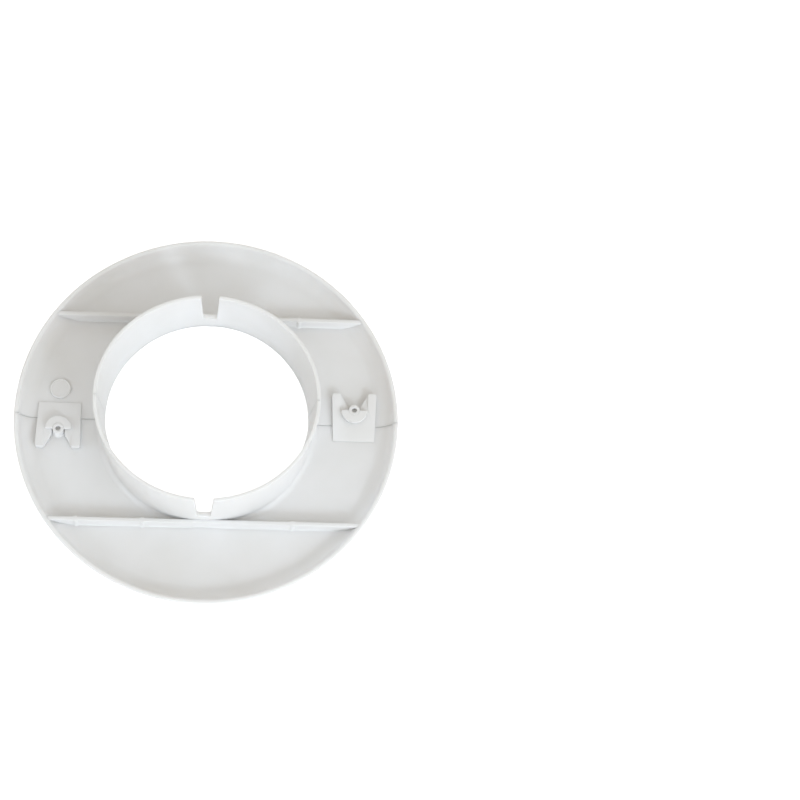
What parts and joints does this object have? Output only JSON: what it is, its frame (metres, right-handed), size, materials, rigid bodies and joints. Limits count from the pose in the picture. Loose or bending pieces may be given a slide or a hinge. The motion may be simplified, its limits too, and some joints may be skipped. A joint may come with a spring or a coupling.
{
  "type": "split cable grommet cover ring",
  "caption": "Round white split grommet: a thin cover ring with a slotted collar, in two halves that clip together around cables, seen from its ribbed back.",
  "frame": {"origin": "on the bore's axis, in the plane of the front face that the ring lies on", "axes": "+Z along the bore from the front face to the collar's free edge, X along the line where the halves part, +Y into the upper half"},
  "size_m": [0.136, 0.136, 0.0288],
  "materials": {
    "white_plastic": "satin white moulded plastic, slightly translucent"
  },
  "bodies": {
    "upper_half": {"upper_flange": "white_plastic", "upper_collar": "white_plastic", "upper_chord_rib": "white_plastic", "upper_clip_fork": "white_plastic", "upper_snap_post": "white_plastic", "upper_post_keeper": "white_plastic", "upper_round_pad": "white_plastic"},
    "lower_half": {"lower_flange": "white_plastic", "lower_collar": "white_plastic", "lower_chord_rib": "white_plastic", "lower_clip_fork": "white_plastic", "lower_snap_post": "white_plastic", "lower_post_keeper": "white_plastic"}
  },
  "joints": [
    {"name": "halves_apart", "type": "slide", "parent": "upper_half", "child": "lower_half", "axis": [0, -1, 0], "range_m": [0, 0.08]}
  ]
}
